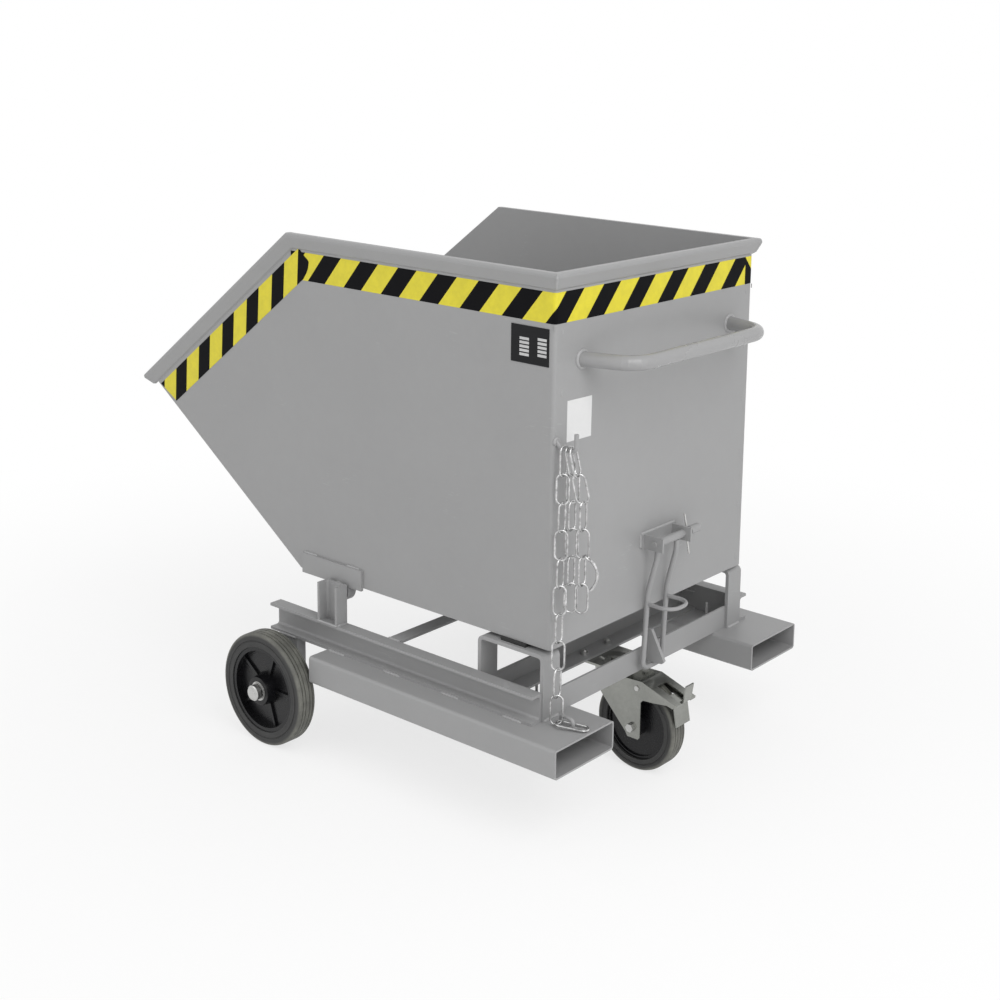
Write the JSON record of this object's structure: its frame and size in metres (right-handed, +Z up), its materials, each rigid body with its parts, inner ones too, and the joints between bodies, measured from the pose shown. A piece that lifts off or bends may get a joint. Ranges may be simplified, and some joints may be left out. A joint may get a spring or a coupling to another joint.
{
  "type": "tipping skip trolley",
  "caption": "Steel tipping skip on a wheeled frame with fork pockets, castor, push handle, release latch and securing chain.",
  "frame": {"origin": "centre of the bounding box on the floor that the wheels stand on", "axes": "+Z up; +X towards the push handle and the castor; -X towards the pouring lip; -Y is the side that carries the rating plate and the chain"},
  "size_m": [1.3646, 0.967, 1.11],
  "materials": {
    "skip_paint": "satin",
    "frame_paint": "satin",
    "zinc": "satin",
    "chain_zinc": "gloss",
    "tyre_rubber": "matte",
    "wheel_plastic": "matte",
    "pad_rubber": "matte",
    "plate_alu": "satin"
  },
  "bodies": {
    "frame": {"rail_left": "frame_paint", "rail_right": "frame_paint", "fork_pocket_left": "frame_paint", "fork_pocket_right": "frame_paint", "front_post_left": "frame_paint", "front_post_right": "frame_paint", "rear_portal_left": "frame_paint", "rear_portal_right": "frame_paint", "rest_pad_left": "pad_rubber", "rest_pad_right": "pad_rubber", "castor_angle_front": "frame_paint", "castor_angle_rear": "frame_paint", "front_cross_bar": "frame_paint", "wheel_bracket_left": "frame_paint", "wheel_bracket_right": "frame_paint", "front_axle_left": "zinc", "front_axle_right": "zinc", "latch_catch": "frame_paint", "pivot_pin_left": "frame_paint", "pivot_pin_right": "frame_paint", "castor_top_plate": "zinc", "castor_bolts": "zinc", "castor_kingpin": "zinc", "chain_bow": "frame_paint", "chain_anchor_link": "chain_zinc"},
    "skip": {"side_panel_left": "skip_paint", "side_panel_right": "skip_paint", "rear_panel": "skip_paint", "floor_panel": "skip_paint", "slope_panel": "skip_paint", "rim_left": "skip_paint", "rim_right": "skip_paint", "rim_rear": "skip_paint", "rim_lip": "skip_paint", "pivot_plate_left": "skip_paint", "pivot_plate_right": "skip_paint", "push_handle": "skip_paint", "latch_bracket": "skip_paint", "latch_pin": "skip_paint", "split_pin": "skip_paint", "chain_hook": "skip_paint", "chain_drop": "chain_zinc", "chain_bundle": "chain_zinc", "rating_plate": "plate_alu"},
    "latch": {"latch_loop": "skip_paint", "latch_sleeve": "skip_paint", "pull_ring": "skip_paint"},
    "front_wheel_left": {"tyre_left": "tyre_rubber", "wheel_left": "wheel_plastic", "bearings_left": "zinc"},
    "front_wheel_right": {"tyre_right": "tyre_rubber", "wheel_right": "wheel_plastic", "bearings_right": "zinc"},
    "castor_swivel_fork": {"castor_fork": "zinc", "castor_axle": "zinc"},
    "castor_wheel": {"castor_tyre": "tyre_rubber", "castor_core": "wheel_plastic"},
    "brake": {"brake_pedal": "zinc", "brake_shoe": "zinc"}
  },
  "joints": [
    {"name": "skip_tip", "type": "hinge", "parent": "frame", "child": "skip", "pos_m": [-0.02467, 0, 0.354], "axis": [0, -1, 0], "range_deg": [0, 55]},
    {"name": "latch_swing", "type": "hinge", "parent": "skip", "child": "latch", "pos_m": [0.59233, 0, 0.518], "axis": [0, -1, 0], "range_deg": [0, 45]},
    {"name": "wheel_left_spin", "type": "hinge", "parent": "frame", "child": "front_wheel_left", "pos_m": [-0.14667, -0.436, 0.125], "axis": [0, 1, 0], "continuous": true},
    {"name": "wheel_right_spin", "type": "hinge", "parent": "frame", "child": "front_wheel_right", "pos_m": [-0.14667, 0.436, 0.125], "axis": [0, 1, 0], "continuous": true},
    {"name": "castor_swivel", "type": "hinge", "parent": "frame", "child": "castor_swivel_fork", "pos_m": [0.46483, 0, 0.205], "axis": [0, 0, 1], "continuous": true},
    {"name": "castor_wheel_spin", "type": "hinge", "parent": "castor_swivel_fork", "child": "castor_wheel", "pos_m": [0.53933, 0, 0.1], "axis": [0, 1, 0], "continuous": true},
    {"name": "brake_press", "type": "hinge", "parent": "castor_swivel_fork", "child": "brake", "pos_m": [0.55173, 0, 0.1908], "axis": [0, 1, 0], "range_deg": [0, 4]}
  ]
}
